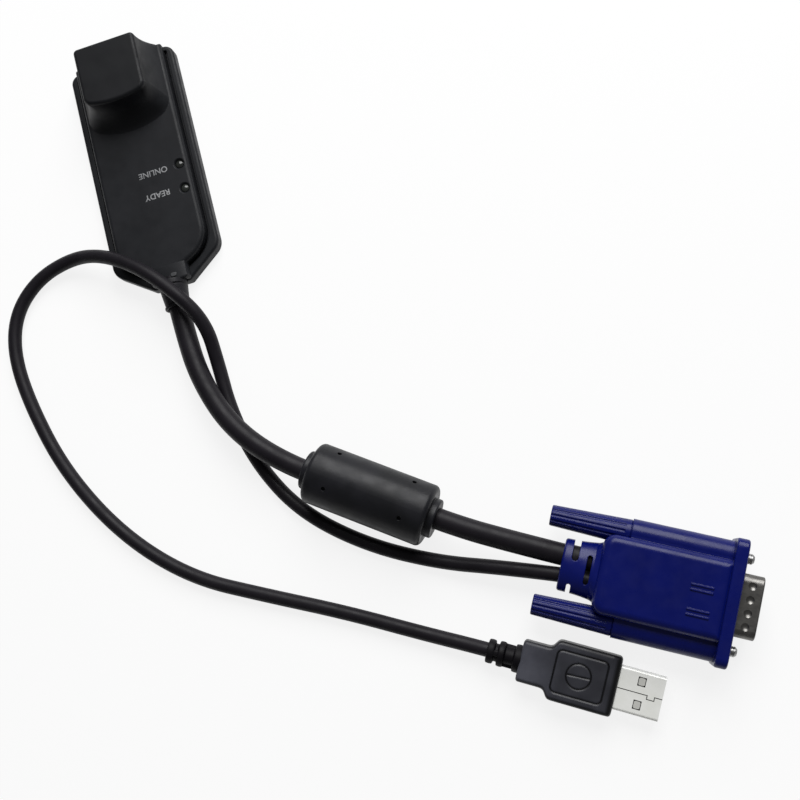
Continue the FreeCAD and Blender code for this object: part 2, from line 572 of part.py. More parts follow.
# ---------------------------------------------------------------- USB plug
def build_usb():
    n0, n1, n2, n3 = USB_STEP_S
    a, b, h = USB_NARROW, USB_WIDE, USB_H
    plan = [(n0, -a), (n1, -a), (n2, -b), (n3, -b), (n3, b), (n2, b), (n1, a), (n0, a)]
    body = slab(plan, [1.0, 1.4, 1.4, 0.4, 0.4, 1.4, 1.4, 1.0], -h, h)
    for z in (-h, h):
        body = soften(body, 1.1, flat_at(z))
    wedges = []
    for side in (-1, 1):
        tri = Part.makePolygon([V(33.4, -12, side * h), V(37, -12, side * h), V(37, -12, side * (h - 1.0)),
                                V(33.4, -12, side * h)])
        wedges.append(Part.Face(tri).extrude(V(0, 24, 0)))
    body = cut(body, wedges)
    relief = [rod(2.6, V(-0.4, 0, 0), V(n0 + 1, 0, 0)), box(0, 3.5, -0.8, 0.8, -3.2, 3.2),
              box(3.5, n0, -3.3, 3.3, -0.8, 0.8)]
    for s0, s1, r in ((-0.4, 1.7, 3.4), (2.7, 4.6, 3.55), (7.2, 9.6, 3.9)):
        relief.append(soften(rod(r, V(s0, 0, 0), V(s1, 0, 0)), 0.35, lambda e: e.BoundBox.XLength < 1e-4))
    body = fuse([body] + relief)
    grooves = []
    for side in (-1, 1):
        z0, z1 = sorted((side * (h - 0.3), side * (h + 1)))
        outer = slab([(18.3, -6), (33.0, -6), (33.0, 6), (18.3, 6)], [1.6] * 4, z0, z1)
        core = slab([(18.8, -5.5), (32.5, -5.5), (32.5, 5.5), (18.8, 5.5)], [1.1] * 4, z0 - 1, z1 + 1)
        grooves.append(cut(outer, core))
        ring = rod(3.6, V(25.4, 0, z0), V(25.4, 0, z1))
        grooves.append(cut(ring, rod(3.2, V(25.4, 0, z0 - 1), V(25.4, 0, z1 + 1))))
        bar = box(-4.4, 4.4, -0.2, 0.2, z0, z1)
        bar.rotate(V(0, 0, 0), UP, 78)
        bar.translate(V(25.4, 0, 0))
        grooves.append(bar)
    w, t, tip = USB_SHELL
    body = cut(body, grooves + [box(30, 40, -w / 2, w / 2, -t / 2, t / 2),
                                rod(THIN / 2, V(-2, 0, 0), V(n0 + 1, 0, 0))])
    put("usb_overmould", solid(body), USB_AT, USB_TURN)

    def case(grow, s0, s1):
        flat = wire_from([(-w / 2 + grow, -t / 2 + grow), (w / 2 - grow, -t / 2 + grow),
                          (w / 2 - grow, t / 2 - grow), (-w / 2 + grow, t / 2 - grow)], [0.75 - grow] * 4)
        flat.rotate(V(0, 0, 0), V(1, 1, 1), 120)
        flat.translate(V(s0, 0, 0))
        return Part.Face(flat).extrude(V(s1 - s0, 0, 0))
    shell = cut(case(0, 30, tip), case(USB_SHEET, 29, tip + 1))
    windows = [box(41.0, 43.2, n - 1.25, n + 1.25, -5, 5) for n in (-3.15, 3.15)]
    seam = [(36.2, 0, 44.2, 0), (44.2, -1, 44.2, 0), (44.2, -1, 46.2, -1), (46.2, -1, 46.2, 0),
            (46.2, 0, tip + 1, 0)]
    seams = [box(x0 - 0.12, x1 + 0.12, y0 - 0.12, y1 + 0.12, t / 2 - 0.2, t) for x0, y0, x1, y1 in seam]
    put("usb_shell", solid(cut(shell, windows + seams)), USB_AT, USB_TURN)
    inner = w / 2 - USB_SHEET
    floor = -t / 2 + USB_SHEET
    face = -floor - 2.0
    tongue = fuse([box(31, tip - 0.6, -inner + 0.5, inner - 0.5, face, -floor),
                   box(31, n3 + 0.5, -inner + 0.5, inner - 0.5, floor, -floor)])
    slots, pads = [], []
    for i, n in enumerate((-3.5, -1.0, 1.0, 3.5)):
        reach = tip - (1.2 if i in (0, 3) else 2.2)
        slots.append(box(n3 + 0.5, reach, n - 0.5, n + 0.5, face - 0.2, face + 0.2))
        pads.append(box(n3 + 0.5, reach, n - 0.5, n + 0.5, face - 0.05, face + 0.2))
    put("usb_tongue", solid(cut(tongue, slots)), USB_AT, USB_TURN)
    put("usb_contacts", Part.makeCompound(pads), USB_AT, USB_TURN)


build_shells()
build_board()
build_jack()
build_gland()
tube("video_cable", THICK_ROUTE, THICK)
build_ferrite()
build_video_plug()
tube("usb_cable", THIN_ROUTE, THIN)
build_usb()

os.makedirs("parts", exist_ok=True)
for name, shape in NODES.items():
    assert shape.isValid(), name
    assert all(s.isValid() and s.Volume > 0 for s in shape.Solids) and shape.Solids, name
    shape.exportStep("parts/%s.step" % name)
    print("%-24s solids %2d faces %3d" % (name, len(shape.Solids), len(shape.Faces)))
print(len(NODES), "nodes")
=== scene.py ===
import math

import bpy
import numpy as np
from mathutils import Matrix, Vector


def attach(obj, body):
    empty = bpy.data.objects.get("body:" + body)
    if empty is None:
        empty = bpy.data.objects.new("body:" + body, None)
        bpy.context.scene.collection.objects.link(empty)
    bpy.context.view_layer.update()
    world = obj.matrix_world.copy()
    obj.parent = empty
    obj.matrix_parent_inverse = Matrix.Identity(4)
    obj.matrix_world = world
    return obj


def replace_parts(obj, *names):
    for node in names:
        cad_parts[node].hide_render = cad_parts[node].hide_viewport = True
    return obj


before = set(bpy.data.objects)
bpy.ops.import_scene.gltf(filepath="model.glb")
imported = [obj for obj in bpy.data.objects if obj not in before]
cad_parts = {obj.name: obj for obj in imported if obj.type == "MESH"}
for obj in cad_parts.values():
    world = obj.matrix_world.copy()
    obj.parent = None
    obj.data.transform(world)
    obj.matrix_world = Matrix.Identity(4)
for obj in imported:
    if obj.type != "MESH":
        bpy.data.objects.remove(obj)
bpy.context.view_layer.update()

MM = 0.001

# ---- cords, mm: diameter, length and the points listed along each ----
THICK = 6.2
THIN = 4.2
THICK_ROUTE = [
    (0.5, -36.7, 4.6), (0.8, -52.5, 4.9), (2.4, -70.0, 6.1), (9.3, -88.2, 8.2),
    (23.4, -103.6, 9.0), (44.5, -117.2, 9.0), (64.2, -131.8, 9.0), (79.4, -140.9, 8.3),
    (95.6, -149.9, 7.75)]
THIN_ROUTE = [
    (92.7, -154.2, 7.75), (76.3, -147.6, 5.6), (57.4, -141.0, 2.2), (37.9, -130.4, 2.1),
    (21.6, -116.0, 2.1), (12.4, -99.0, 2.1), (8.3, -81.0, 2.1), (8.2, -66.5, 3.2),
    (8.8, -54.3, 8.8), (2.5, -43.3, 13.2), (-7.2, -32.2, 11.9), (-18.6, -23.9, 8.1),
    (-29.6, -20.3, 3.7), (-42.4, -22.7, 2.1), (-51.8, -31.2, 2.1), (-55.4, -43.6, 2.1),
    (-53.7, -60.3, 2.1), (-46.9, -84.6, 2.1), (-33.3, -108.3, 2.1), (-15.1, -126.4, 2.1),
    (6.4, -137.4, 2.1), (28.0, -148.0, 2.1), (48.0, -159.1, 2.3), (63.1, -166.9, 3.9),
    (72.8, -172.4, 4.0)]

# ---- places of the plugs and the gland: origin in mm, turn about Z in degrees ----
VIDEO_TURN = -27.9
USB_TURN = -29.6
VIDEO_PLUG = ((91.2, -150.4, 7.75), VIDEO_TURN)
USB_PLUG = ((64.9, -168.1, 4.0), USB_TURN)
GLAND = ((0.5, -36.65, 4.6), -90.0)

# ---- pod, mm ----
DECK_Z = 7.0
BRIDGE_START = -33.1        # the bridge over the gland lies beyond this
BRIDGE_R = 6.3
BRIDGE_PRESS = 6            # the bridge stands this many times lower over the deck
SCOOP_END = 18.4            # where the tower's front wall reaches its top face
# darkening painted on the pod's cover: it grows with height, and painted shade lies in the hollow
# before the tower
SHADE_START, SHADE_SPAN = 9, 6          # heights over which the tower's walls darken
SHADE_TOWER, SHADE_SCOOP = 0.35, 0.55
LEGEND_HEIGHT = 1.95
LEGEND_FONT = 1.35          # font size for a capital letter 1 high
LEGEND_BOLD = 0.045         # how far each stroke is widened
LEGEND_FILM = 0.03          # thickness of the printed ink
LEGENDS = (("active_legend", "ONLINE", 3.0, -2.8), ("power_legend", "READY", 2.85, -10.3))

# ---- gland, mm along the cord from its inner end ----
GLAND_BEGIN = 1.35
GLAND_NOTCH = 2.8
GLAND_LIP = 9.1
GLAND_END = 9.95
GLAND_R = 4.5
GLAND_TAPER = 0.8
GLAND_GROOVE = 0.35         # width of the groove at the notch and before the lip
GLAND_SOFT = 0.07           # length of each step between two radii
NOTCH_DEPTH = 0.28
LIP_GROOVE_DEPTH = 0.22
LIP_RISE = 0.3
MOUTH_ROOM = 0.12           # between the mouth and the cord

# ---- tab on the bridge, pale as a painted highlight, mm in the gland's own frame ----
TAB_X, TAB_Y, TAB_Z, TAB_CORNER = (-0.55, 0.65), (0.9, 2.7), (2.85, 3.2), 0.5

# ---- ribbed neck of the USB plug, mm along the plug ----
RELIEF_BEGIN = -0.4
RELIEF_END = 9.6
RELIEF_CORE = 2.5
RELIEF_RINGS = (            # begin, end, radius
    (RELIEF_BEGIN, 1.7, 3.4), (2.7, 4.6, 3.55), (7.2, RELIEF_END, 3.9))
RELIEF_BARS = (             # begin, end, height over the core
    (0, 3.5, 0.65), (3.5, 8.5, 0.75))
RING_CROWN = 0.18           # how much lower a ring is at its rims than in its middle
RING_SOFT = 0.09            # length of the step at each rim
BAR_ARM = 3.1               # radius at which half a bar's width is taken
BAR_HALF = 0.85
BAR_SOFT = 0.1

# ---- USB grip, mm along the plug: narrow waist, shoulder, wide body ----
GRIP_S = (9.0, 17.0, 18.2, 36.0)
GRIP_NARROW = 5.75
GRIP_WIDE = 8.25
GRIP_H = 4.0
GRIP_EDGE = 1.25            # rounding along its four long edges
GRIP_END_R = 0.8            # rounding round its two ends
GRIP_NOSE = (33.4, 2.6, 0.8)            # where the faces start to fall, the length, how far
PANEL_S = (18.6, 32.7)
PANEL_HALF = 5.75
PANEL_CORNER = 1.4
RING_S = 25.4
RING_R = 3.4
BAR_LEAN = 3                # degrees
LINE_DEPTH = 0.4
LINE_SOFT = 0.07
PANEL_LINE, RING_LINE = 0.2, 0.16       # half widths of the grooves
# painted shade on the USB grip: in the grooves, along the rims and growing along the plug
SHADE_LINES, SHADE_RIMS, SHADE_ALONG = 0.8, 0.85, 0.52   # most that each place takes up

# ---- USB shell, mm: its upper face, the latches and the seam ----
SHELL_FACE = 4.5 / 2
LATCH_ACROSS = 3.15
# the wells under the latches and the seam are dark plates of painted shade
WELL_S, WELL_HALF, WELL_CORNER = (40.96, 43.24), 1.29, 0.3
LATCH_S, LATCH_HALF, LATCH_CORNER = (41.2, 43.0), 1.02, 0.45
SEAM_HALF, SEAM_CORNER = 0.1, 0.02
WELL_Z = (SHELL_FACE - 0.34, SHELL_FACE - 0.28)
LATCH_Z = (SHELL_FACE - 0.3, SHELL_FACE - 0.12)
SEAM_Z = (SHELL_FACE - 0.2, SHELL_FACE - 0.11)
SEAM_RUNS = (               # from and to along the plug, from and to across it
    ((36.2, 44.2), (0, 0)), ((44.2, 44.2), (-1, 0)), ((44.2, 46.2), (-1, -1)),
    ((46.2, 46.2), (-1, 0)), ((46.2, 48.2), (0, 0)))

# ---- video plug, mm along the plug ----
TAIL_S = (2.0, 16.5)
TAIL_ACROSS = 2.75
TAIL_ROOM = 0.03
WEB_Y, WEB_Z, WEB_CORNER = (-1.6, 0.6), (-0.8, 0.8), 0.3
CONE_BEGIN = 8.3
CONE_END = 13.6
CONE_WIDE = (7.8, 1.5, 1.66)            # half width: at first, what grows straight, with the square
CONE_HIGH = (5.05, 1.6, 0.48)
SCREW_ACROSS = 12.495
WASHER_S = (16.24, 16.48)
WASHER_R = 3.5
WASHER_RIM = 0.2

# ---- studio, metres ----
FLOOR_HALF = 3
FLOOR_NEAR, FLOOR_FAR = 0.22, 0.9       # the seen floor goes from paper to plain white
FLOOR_WHITE = 0.84                      # share of plain white near the part
CAMERA_AT = (96.64, -152.0, 319.4)      # mm
CAMERA_RIGHT = (0.9539, -0.2530, -0.1615)
CAMERA_UP = (0.2765, 0.9500, 0.1451)
CAMERA_LENS = 49.8


# ---------------------------------------------------------------- shapes
def place(spot):
    """Matrix from a plug's own frame in mm to the part's frame in metres."""
    at, turn = spot
    return (Matrix.Scale(MM, 4) @ Matrix.Translation(at)
            @ Matrix.Rotation(math.radians(turn), 4, "Z"))


def add_object(name, data):
    """New object at the origin, linked into the scene."""
    thing = bpy.data.objects.new(name, data)
    bpy.context.scene.collection.objects.link(thing)
    return thing


def ring_faces(rows, around):
    """Quads between the rings of a tube whose vertex (i, j) has the number i * around + j."""
    i, j = np.meshgrid(np.arange(rows - 1), np.arange(around), indexing="ij")
    k = (j + 1) % around
    low, high = i * around, (i + 1) * around
    return np.stack([low + j, low + k, high + k, high + j], axis=-1).reshape(-1, 4)


def skin(name, rings, spot, finish, smooth=True):
    """Closed tube through rings, an array (rows, around, 3) in mm, each end closed to its centre.

    The sum over all quads of the way out from the middle times the face's direction is positive
    when the faces point outwards; otherwise every face is turned round.
    """
    rows, around, _ = rings.shape
    points = np.concatenate([rings.reshape(-1, 3), rings[:1].mean(axis=1), rings[-1:].mean(axis=1)])
    quads = ring_faces(rows, around)
    j = np.arange(around)
    k = (j + 1) % around
    first, last, far = rows * around, rows * around + 1, (rows - 1) * around
    start = np.stack([np.full(around, first), k, j], axis=-1)
    end = np.stack([np.full(around, last), far + j, far + k], axis=-1)
    faces = [quads, start, end]
    a, b, c = points[quads[:, 0]], points[quads[:, 1]], points[quads[:, 2]]
    if np.einsum("ij,ij->i", a - points.mean(axis=0), np.cross(b - a, c - a)).sum() < 0:
        faces = [group[:, ::-1] for group in faces]
    mesh = bpy.data.meshes.new(name)
    mesh.from_pydata(points.tolist(), [], [face for group in faces for face in group.tolist()])
    mesh.transform(place(spot))
    mesh.polygons.foreach_set("use_smooth", np.full(len(mesh.polygons), smooth))
    mesh.update()
    mesh.materials.append(finish)
    piece = add_object(name, mesh)
    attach(piece, "root")
    return piece


def paint(piece, name, values):
    """Stores one number per vertex, kept between 0 and 1, for the piece's finish to read."""
    layer = piece.data.attributes.new(name, "FLOAT", "POINT")
    layer.data.foreach_set("value", np.clip(values, 0, 1).astype(np.float32))
    return piece


def turned(stations, radii, around=96):
    """Rings of a turned form along +X: the radius at each station, carried round the axis."""
    angle = np.linspace(0, 2 * np.pi, around, endpoint=False)
    s, a = np.meshgrid(stations, angle, indexing="ij")
    r = np.broadcast_to(np.asarray(radii)[:, None], s.shape)
    return np.stack([s, r * np.cos(a), r * np.sin(a)], axis=-1)


def swell(x, low, high, edge):
    """1 between low and high and 0 outside them, with a soft step about edge wide at each.

    Half the difference of two hyperbolic tangents, one centred on low and one on high.
    """
    return 0.5 * (np.tanh((x - low) / edge) - np.tanh((x - high) / edge))


def climb(x, start, span):
    """0 before start, straight up to 1 over the span, 1 beyond; a negative span climbs backwards."""
    return np.clip((x - start) / span, 0, 1)


def round_over(way, radius):
    """Fall of a quarter circle of this radius below its tangent, way going from 0 to 1 along it."""
    return radius * (1 - np.sqrt(1 - way ** 2))


def rounded_box(half_width, half_height, radius, around):
    """Section of a box with rounded edges, per station.

    A point goes round the square; it is scaled to the box, pulled to the nearest point of the box
    shrunk by the radius, and set one radius out from there.
    """
    turn = np.arange(around) / around * 4
    side = np.floor(turn).astype(int)
    along = 2 * (turn - side) - 1
    ones = np.ones(around)
    u = np.choose(side, [along, ones, -along, -ones])
    v = np.choose(side, [-ones, along, ones, -along])
    width, height = half_width[:, None], half_height[:, None]
    reach = np.minimum(radius, 0.98 * np.minimum(width, height))
    y, z = u * width, v * height
    near_y = np.clip(y, reach - width, width - reach)
    near_z = np.clip(z, reach - height, height - reach)
    out = np.hypot(y - near_y, z - near_z)
    return near_y + reach * (y - near_y) / out, near_z + reach * (z - near_z) / out


def plate(name, x, y, z, corner, spot, finish):
    """Flat plate between two values each of x, y and z.

    One rectangle with rounded corners, at four heights: full size between its rims and drawn in by
    a fiftieth at the lower and the upper face.
    """
    rim = 0.04
    share = np.array([0.98, 1, 1, 0.98])[:, None]
    height = np.array([z[0], z[0] + rim, z[1] - rim, z[1]])[:, None]
    half_x, half_y = np.array([(x[1] - x[0]) / 2]), np.array([(y[1] - y[0]) / 2])
    out_x, out_y = rounded_box(half_x, half_y, corner, 64)
    rings = np.stack([(x[0] + x[1]) / 2 + out_x * share, (y[0] + y[1]) / 2 + out_y * share,
                      height + 0 * out_x], axis=-1)
    return skin(name, rings, spot, finish, smooth=False)


# ---------------------------------------------------------------- finishes
def shader(name, colour, roughness, metallic=0.0, specular=0.5):
    """Principled material whose uniform values stand on the shader's own sockets."""
    finish = bpy.data.materials.new(name)
    finish.use_nodes = True
    bsdf = finish.node_tree.nodes["Principled BSDF"]
    bsdf.inputs["Base Color"].default_value = (*colour, 1)
    bsdf.inputs["Roughness"].default_value = roughness
    bsdf.inputs["Metallic"].default_value = metallic
    bsdf.inputs["Specular IOR Level"].default_value = specular
    return finish


def noise(finish, cell, detail, stretch=(1, 1, 1), turn=0.0):
    """Noise in the piece's own space; cell is one grain in mm, stretch lengthens it per axis."""
    nodes, links = finish.node_tree.nodes, finish.node_tree.links
    where = nodes.new("ShaderNodeTexCoord")
    mapping = nodes.new("ShaderNodeMapping")
    mapping.vector_type = "TEXTURE"
    mapping.inputs["Rotation"].default_value = (0, 0, math.radians(turn))
    mapping.inputs["Scale"].default_value = stretch
    texture = nodes.new("ShaderNodeTexNoise")
    texture.inputs["Scale"].default_value = 1 / (cell * MM)
    texture.inputs["Detail"].default_value = detail
    links.new(where.outputs["Object"], mapping.inputs["Vector"])
    links.new(mapping.outputs["Vector"], texture.inputs["Vector"])
    return texture.outputs["Fac"]


def ramp(finish, source, low, high, start=0.35, end=0.65):
    """Colour or grey that goes from low to high as the source goes from start to end."""
    node = finish.node_tree.nodes.new("ShaderNodeValToRGB")
    node.color_ramp.elements[0].position = start
    node.color_ramp.elements[1].position = end
    for element, value in zip(node.color_ramp.elements, (low, high)):
        element.color = (*value, 1) if isinstance(value, tuple) else (value, value, value, 1)
    finish.node_tree.links.new(source, node.inputs["Fac"])
    return node.outputs["Color"]


def bump(finish, height, distance):
    """Relief of the given depth in mm, laid over any relief that the shader has already."""
    nodes, links = finish.node_tree.nodes, finish.node_tree.links
    normal = nodes["Principled BSDF"].inputs["Normal"]
    node = nodes.new("ShaderNodeBump")
    node.inputs["Distance"].default_value = distance * MM
    node.inputs["Strength"].default_value = 1.0
    links.new(height, node.inputs["Height"])
    if normal.is_linked:
        links.new(normal.links[0].from_socket, node.inputs["Normal"])
    links.new(node.outputs["Normal"], normal)


def feed(finish, source, socket):
    """Joins a source to one of the shader's own sockets."""
    bsdf = finish.node_tree.nodes["Principled BSDF"]
    finish.node_tree.links.new(source, bsdf.inputs[socket])


def worn_edges(finish, radius):
    """Lets light run round each edge as if it were rounded by the given radius in mm."""
    node = finish.node_tree.nodes.new("ShaderNodeBevel")
    node.samples = 6
    node.inputs["Radius"].default_value = radius * MM
    feed(finish, node.outputs["Normal"], "Normal")


def moulded(name, dark, light, roughness, grain, depth, specular):
    """Moulded plastic: cloudy colour, fine even grain, gloss that varies where it is handled.

    The grain's size and depth are in mm.
    """
    finish = shader(name, light, roughness, specular=specular)
    worn_edges(finish, radius=0.35)
    clouds = noise(finish, cell=9.0, detail=4.0)
    handling = noise(finish, cell=3.5, detail=5.0)
    feed(finish, ramp(finish, clouds, dark, light), "Base Color")
    feed(finish, ramp(finish, handling, roughness - 0.05, roughness + 0.06), "Roughness")
    bump(finish, noise(finish, grain, detail=2.0), depth)
    return finish


def darkened_by_paint(finish, name, dark_colour):
    """Takes the colour towards the given dark colour by the number painted on the piece under this
    name; the number is painted shade, and on the pod's tower also a darkening with height.
    """
    nodes, links = finish.node_tree.nodes, finish.node_tree.links
    base = nodes["Principled BSDF"].inputs["Base Color"]
    painted = nodes.new("ShaderNodeAttribute")
    painted.attribute_name = name
    mix = nodes.new("ShaderNodeMix")
    mix.data_type = "RGBA"
    links.new(painted.outputs["Fac"], mix.inputs["Factor"])
    links.new(base.links[0].from_socket, mix.inputs["A"])
    mix.inputs["B"].default_value = (*dark_colour, 1)
    links.new(mix.outputs["Result"], base)


def metal(name, dark, light, roughness, turn, metallic=1.0):
    """Plated sheet metal: fine drawing lines along its length and a slightly uneven shine."""
    finish = shader(name, light, roughness, metallic=metallic)
    clouds = noise(finish, cell=4.0, detail=4.0)
    lines = noise(finish, cell=0.12, detail=3.0, stretch=(14, 1, 1), turn=turn)
    feed(finish, ramp(finish, clouds, dark, light), "Base Color")
    feed(finish, ramp(finish, lines, roughness - 0.06, roughness + 0.08), "Roughness")
    bump(finish, lines, 0.002)
    return finish


# each: dark and light colour, roughness, size and depth of the grain in mm, specular level
POD_DARK, POD_LIGHT = (0.0085, 0.0092, 0.0112), (0.0125, 0.0132, 0.0158)
POD_PLASTIC = moulded("pod_plastic", POD_DARK, POD_LIGHT, 0.46, 0.16, 0.006, 0.2)
# the cover's own copy of the pod plastic, darkened by a painted number: painted shade in the hollow
# before the tower, and darker with height
COVER_PLASTIC = moulded("cover_plastic", POD_DARK, POD_LIGHT, 0.46, 0.16, 0.006, 0.2)
darkened_by_paint(COVER_PLASTIC, "shade", (0.0008, 0.0009, 0.0012))
CORD_JACKET = moulded(
    "cord_jacket", (0.0088, 0.0076, 0.0104), (0.0124, 0.0108, 0.0142), 0.46, 0.22, 0.008, 0.17)
FERRITE_SKIN = moulded(
    "ferrite_skin", (0.0075, 0.0078, 0.0095), (0.011, 0.0112, 0.0145), 0.42, 0.18, 0.012, 0.24)
SOFT_BLACK = moulded(
    "soft_black", (0.0085, 0.0083, 0.0105), (0.0125, 0.012, 0.0155), 0.5, 0.2, 0.008, 0.22)
RELIEF_BLACK = moulded(
    "relief_black", (0.0028, 0.0024, 0.0035), (0.005, 0.0042, 0.006), 0.52, 0.2, 0.006, 0.14)
GRIP_PLASTIC = moulded(
    "grip_plastic", (0.044, 0.045, 0.057), (0.072, 0.074, 0.092), 0.4, 0.15, 0.006, 0.3)
# painted shade on the grip: the colour goes towards this dark colour by the painted number
darkened_by_paint(GRIP_PLASTIC, "painted_shade", (0.004, 0.004, 0.005))
BLUE_PLASTIC = moulded(
    "blue_plastic", (0.0012, 0.0046, 0.1), (0.0016, 0.0056, 0.116), 0.3, 0.2, 0.003, 0.25)
JACK_PLASTIC = moulded(
    "jack_plastic", (0.006, 0.006, 0.0065), (0.010, 0.010, 0.011), 0.4, 0.2, 0.004, 0.4)
CHIP_PLASTIC = moulded(
    "chip_plastic", (0.009, 0.009, 0.010), (0.014, 0.014, 0.015), 0.6, 0.1, 0.006, 0.4)
WHITE_PLASTIC = moulded(
    "white_plastic", (0.70, 0.70, 0.68), (0.78, 0.78, 0.76), 0.4, 0.2, 0.003, 0.5)
FERRITE_CERAMIC = moulded(
    "ferrite_ceramic", (0.03, 0.03, 0.032), (0.05, 0.05, 0.052), 0.35, 0.3, 0.02, 0.5)
BOARD_MASK = moulded(
    "board_mask", (0.008, 0.06, 0.025), (0.015, 0.10, 0.04), 0.3, 0.8, 0.01, 0.5)
LENS_PLASTIC = moulded(
    "lens_plastic", (0.012, 0.013, 0.012), (0.024, 0.027, 0.024), 0.16, 0.3, 0.002, 0.6)
# painted shade: dark plates under the latch windows and along the seam of the USB shell
GAP_SHADE = moulded(
    "painted_gap_shade", (0.012, 0.012, 0.013), (0.02, 0.02, 0.021), 0.8, 0.2, 0.001, 0.1)
# painted highlight: the pale tab on the bridge over the gland
TAB_HIGHLIGHT = moulded(
    "tab_painted_highlight", (0.052, 0.053, 0.056), (0.078, 0.080, 0.084), 0.38, 0.2, 0.002, 0.3)
INK = moulded(
    "legend_ink", (0.24, 0.245, 0.255), (0.34, 0.345, 0.355), 0.55, 0.1, 0.002, 0.4)

# each: dark and light colour, roughness, direction of the drawing lines, how far it is bare metal
NICKEL_SHELL = metal(
    "nickel_shell", (0.14, 0.136, 0.13), (0.21, 0.205, 0.195), 0.38, VIDEO_TURN)
TINNED_SHELL = metal(
    "tinned_shell", (0.92, 0.925, 0.88), (0.97, 0.975, 0.94), 0.36, USB_TURN, 0.15)
LATCH_STEEL = metal(
    "latch_steel", (0.60, 0.60, 0.56), (0.70, 0.70, 0.66), 0.4, USB_TURN, 0.3)
SCREW_STEEL = metal(
    "screw_steel", (0.24, 0.24, 0.24), (0.36, 0.36, 0.355), 0.34, VIDEO_TURN)
GOLD = metal("gold_contact", (0.70, 0.50, 0.16), (0.85, 0.62, 0.22), 0.25, 0)

NODE_FINISH = {
    "lower_shell": POD_PLASTIC, "circuit_board": BOARD_MASK,
    "controller_chip": CHIP_PLASTIC, "video_chip": CHIP_PLASTIC, "crystal_can": SCREW_STEEL,
    "board_passives": CHIP_PLASTIC, "cable_header": WHITE_PLASTIC, "inner_wires": CORD_JACKET,
    "active_led": LENS_PLASTIC, "power_led": LENS_PLASTIC, "case_screws": SCREW_STEEL,
    "jack_housing": JACK_PLASTIC, "jack_contacts": GOLD,
    "ferrite_jacket": FERRITE_SKIN, "ferrite_core": FERRITE_CERAMIC, "vga_hood": BLUE_PLASTIC,
    "vga_shell": NICKEL_SHELL, "vga_insulator": JACK_PLASTIC, "vga_pins": GOLD,
    "upper_thumbscrew_knob": BLUE_PLASTIC, "lower_thumbscrew_knob": BLUE_PLASTIC,
    "upper_thumbscrew_rod": SCREW_STEEL, "lower_thumbscrew_rod": SCREW_STEEL,
    "usb_shell": TINNED_SHELL, "usb_tongue": WHITE_PLASTIC, "usb_contacts": GOLD}
for node_name, node_finish in NODE_FINISH.items():
    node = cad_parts[node_name]
    node.data.materials.clear()
    node.data.materials.append(node_finish)


# ---------------------------------------------------------------- pod
def merged(source):
    """Points in mm, corners and shading directions of a mesh of triangles, equal points made one.

    Points are equal when they agree to a ten-thousandth; a triangle that loses a corner is left out.
    """
    points = np.empty(len(source.vertices) * 3)
    source.vertices.foreach_get("co", points)
    corners = np.empty(len(source.loops), dtype=int)
    source.loops.foreach_get("vertex_index", corners)
    facing = np.empty(len(source.loops) * 3)
    source.corner_normals.foreach_get("vector", facing)
    points = np.round(points.reshape(-1, 3) / MM, 4)
    points, number = np.unique(points, axis=0, return_inverse=True)
    corners = number.reshape(-1)[corners].reshape(-1, 3)
    sound = (corners != np.roll(corners, 1, axis=1)).all(axis=1)
    return points, corners[sound], facing.reshape(-1, 3, 3)[sound]


def pod_cover():
    """Cover of the pod, a merged copy of its mesh with the bridge over the gland pressed down.

    Above the deck the bridge keeps a sixth of its height.  Each corner keeps its direction of
    shading, except that its upward part grows sixfold on the bridge.  The colour darkens with
    height, and painted shade lies in the hollow in front of the tower.
    """
    points, corners, facing = merged(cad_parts["upper_cover"].data)
    x, y, z = points.T.copy()
    middle_x, _, middle_z = GLAND[0]
    bridge = (y < BRIDGE_START) & (np.hypot(x - middle_x, z - middle_z) < BRIDGE_R) & (z > DECK_Z)
    z[bridge] = DECK_Z + (z[bridge] - DECK_Z) / BRIDGE_PRESS
    facing[bridge[corners], 2] *= BRIDGE_PRESS
    facing /= np.linalg.norm(facing, axis=-1, keepdims=True)
    mesh = bpy.data.meshes.new("pod_cover")
    mesh.from_pydata((np.stack([x, y, z], axis=-1) * MM).tolist(), [], corners.tolist())
    mesh.polygons.foreach_set("use_smooth", np.full(len(mesh.polygons), True))
    mesh.normals_split_custom_set(facing.reshape(-1, 3).tolist())
    mesh.materials.append(COVER_PLASTIC)
    piece = add_object("pod_cover", mesh)
    # darker with height, and painted shade in the hollow in front of the tower
    raised = climb(z, SHADE_START, SHADE_SPAN)
    scoop = climb(y, SCOOP_END, -2) * climb(z, DECK_Z + 0.02, 0.8) * ~bridge
    paint(piece, "shade", SHADE_TOWER * raised + SHADE_SCOOP * scoop)
    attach(piece, "root")
    return piece


def legend(name, words, x, y):
    """Printed word on the deck, read from the cable end, as a thin flat mesh."""
    text = bpy.data.curves.new(name, "FONT")
    text.body = words
    text.align_x, text.align_y = "CENTER", "CENTER"
    text.size = LEGEND_HEIGHT * LEGEND_FONT * MM
    text.extrude = LEGEND_FILM / 2 * MM
    text.offset = LEGEND_BOLD * MM
    text.resolution_u = 4
    draft = add_object(name + "_draft", text)
    bpy.context.view_layer.update()
    mesh = bpy.data.meshes.new_from_object(draft)
    bpy.data.objects.remove(draft)
    at = Vector((x, y, DECK_Z)) * MM
    mesh.transform(Matrix.Translation(at) @ Matrix.Rotation(math.pi, 4, "Z"))
    mesh.materials.clear()
    mesh.materials.append(INK)
    mesh.name = name
    piece = add_object(name, mesh)
    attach(piece, "root")


